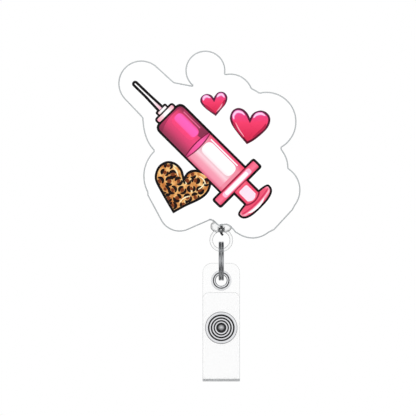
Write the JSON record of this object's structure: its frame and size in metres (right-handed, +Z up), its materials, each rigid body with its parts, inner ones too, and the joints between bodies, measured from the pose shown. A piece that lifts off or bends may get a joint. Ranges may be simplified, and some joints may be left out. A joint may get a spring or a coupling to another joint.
{
  "type": "retractable badge reel",
  "caption": "Round spring reel with a flat shaped printed topper, swivel jaw clip, pull-out cord, clear ring, split ring and folded vinyl snap strap.",
  "frame": {"origin": "the clip's grip point, midway between the tips of its two jaws", "axes": "+Z up along the hanging strap, +X to the right seen from the front, the topper faces -Y"},
  "size_m": [0.062, 0.0262, 0.1127],
  "materials": {
    "clear_acrylic": "polished clear acrylic",
    "white_print": "glossy printed film",
    "white_foam": "matt foam tape",
    "black_plastic": "moulded, satin gloss",
    "grey_plastic": "moulded, matt",
    "spring_steel": "blued spring steel",
    "nickel": "bright nickel plate",
    "black_cord": "braided nylon",
    "clear_plastic": "clear moulded plastic",
    "clear_vinyl": "clear flexible vinyl"
  },
  "bodies": {
    "clip": {"clip_base": "nickel", "clip_pin": "nickel", "clip_spring": "spring_steel"},
    "clip_lever": {"clip_lever": "nickel"},
    "reel": {"front_cover": "black_plastic", "rear_cover": "black_plastic", "adhesive_pad": "white_foam", "topper_plate": "clear_acrylic", "printed_decal": "white_print", "clip_rivet": "nickel", "clip_washer": "black_plastic", "power_spring": "spring_steel", "cord_run": "black_cord"},
    "spool": {"spool": "grey_plastic", "cord_winding": "black_cord"},
    "cord_end": {"cord_lead": "black_cord", "cord_knot": "black_cord"},
    "end_ring": {"cord_end_ring": "clear_plastic"},
    "split_ring": {"split_ring": "nickel"},
    "strap": {"strap_rear": "clear_vinyl", "strap_fold": "clear_vinyl", "eyelet": "nickel", "eyelet_washer": "nickel", "snap_stud": "nickel", "snap_post": "nickel"},
    "strap_flap": {"strap_flap": "clear_vinyl", "snap_cap": "nickel", "snap_socket": "nickel"}
  },
  "joints": [
    {"name": "reel_swivel", "type": "hinge", "parent": "clip", "child": "reel", "pos_m": [0, -0.003, 0.015], "axis": [0, 1, 0], "continuous": true},
    {"name": "clip_open", "type": "hinge", "parent": "clip", "child": "clip_lever", "pos_m": [0, 0.0025, 0.018], "axis": [1, 0, 0], "range_deg": [0, 30], "stiffness_Nm_per_rad": 0.004, "springref_deg": -28.65, "deforming": ["clip_spring"]},
    {"name": "cord_pull", "type": "slide", "parent": "reel", "child": "cord_end", "axis": [0, 0, -1], "range_m": [0, 0.6], "stiffness_N_per_m": 2.5, "springref_m": -0.4, "deforming": ["cord_lead"]},
    {"name": "spool_spin", "type": "hinge", "parent": "reel", "child": "spool", "pos_m": [0, -0.0078, 0.015], "axis": [0, 1, 0], "range_deg": [0, 2880]},
    {"name": "ring_twist", "type": "hinge", "parent": "cord_end", "child": "end_ring", "pos_m": [0, -0.0078, -0.004], "axis": [0, 0, 1], "continuous": true},
    {"name": "link_swing", "type": "hinge", "parent": "end_ring", "child": "split_ring", "pos_m": [0, -0.0078, -0.01162], "axis": [1, 0, 0], "range_deg": [-70, 70]},
    {"name": "strap_sway", "type": "hinge", "parent": "split_ring", "child": "strap", "pos_m": [0, -0.0069, -0.0213], "axis": [0, 1, 0], "range_deg": [-70, 70]},
    {"name": "flap_open", "type": "hinge", "parent": "strap", "child": "strap_flap", "pos_m": [0, -0.008, -0.05505], "axis": [1, 0, 0], "range_deg": [0, 150], "deforming": ["strap_fold"]}
  ],
  "couplings": [
    {"joint": "spool_spin", "follows": "cord_pull", "rad_per_m": 83.776}
  ]
}
